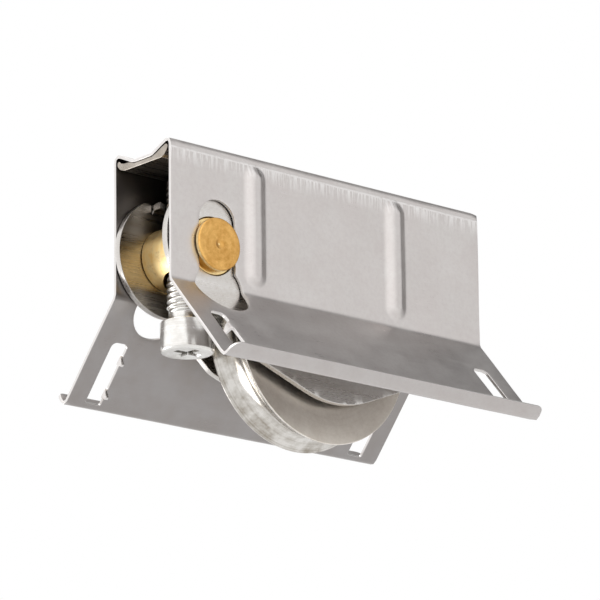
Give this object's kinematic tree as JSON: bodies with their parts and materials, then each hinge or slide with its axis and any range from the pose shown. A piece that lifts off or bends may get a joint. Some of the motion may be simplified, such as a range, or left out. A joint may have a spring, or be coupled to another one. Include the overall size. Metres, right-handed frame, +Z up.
{
  "type": "sliding door roller",
  "caption": "Adjustable sliding door roller: a grooved steel wheel on a swing arm in a folded, winged steel housing, raised and lowered by a screw in a brass barrel nut.",
  "frame": {"origin": "middle of the flat trough floor on top of the housing, at mid length", "axes": "+X along the housing away from the adjusting screw, +Y across it, +Z up, out of the trough floor"},
  "size_m": [0.0713, 0.046, 0.0469],
  "materials": {
    "stainless_sheet": "satin cold-rolled stainless sheet",
    "bracket_steel": "smooth stamped steel plate",
    "rivet_steel": "drawn steel, satin",
    "bright_screw": "polished plated steel",
    "turned_steel": "turned, with fine circular tool marks",
    "bearing_steel": "ground and polished",
    "cage_steel": "pressed bronze-coloured strip",
    "brass": "turned brass with circular tool marks"
  },
  "bodies": {
    "root": {"housing": "stainless_sheet", "saddle_bracket": "bracket_steel", "pivot_pin": "rivet_steel"},
    "arm": {"swing_arm": "bracket_steel", "axle_rivet": "rivet_steel", "spacer_front": "rivet_steel", "spacer_back": "rivet_steel", "inner_race": "bearing_steel"},
    "barrel": {"barrel_nut": "brass"},
    "screw": {"adjusting_screw": "bright_screw"},
    "wheel": {"wheel_rim": "turned_steel", "outer_race": "bearing_steel", "shield_front": "bearing_steel", "shield_back": "bearing_steel"},
    "cage": {"ball_cage": "cage_steel", "ball_1": "bearing_steel", "ball_2": "bearing_steel", "ball_3": "bearing_steel", "ball_4": "bearing_steel", "ball_5": "bearing_steel", "ball_6": "bearing_steel", "ball_7": "bearing_steel"}
  },
  "joints": [
    {"name": "screw_turn", "type": "hinge", "parent": "root", "child": "screw", "pos_m": [-0.0257, 0, -0.0156], "axis": [0, 0, 1], "range_deg": [-1400, 1400]},
    {"name": "arm_swing", "type": "hinge", "parent": "root", "child": "arm", "pos_m": [0.027, 0, -0.01815], "axis": [0, 1, 0], "range_deg": [-4.3, 4.3]},
    {"name": "barrel_level", "type": "hinge", "parent": "arm", "child": "barrel", "pos_m": [-0.0257, 0, -0.01565], "axis": [0, 1, 0], "range_deg": [-4.3, 4.3]},
    {"name": "wheel_spin", "type": "hinge", "parent": "arm", "child": "wheel", "pos_m": [0.0016, 0, -0.02615], "axis": [0, 1, 0], "continuous": true},
    {"name": "cage_spin", "type": "hinge", "parent": "arm", "child": "cage", "pos_m": [0.0016, 0, -0.02615], "axis": [0, 1, 0], "continuous": true}
  ],
  "couplings": [
    {"joint": "arm_swing", "follows": "screw_turn", "ratio": -0.003012},
    {"joint": "barrel_level", "follows": "screw_turn", "ratio": 0.003012},
    {"joint": "cage_spin", "follows": "wheel_spin", "ratio": 0.6333}
  ]
}
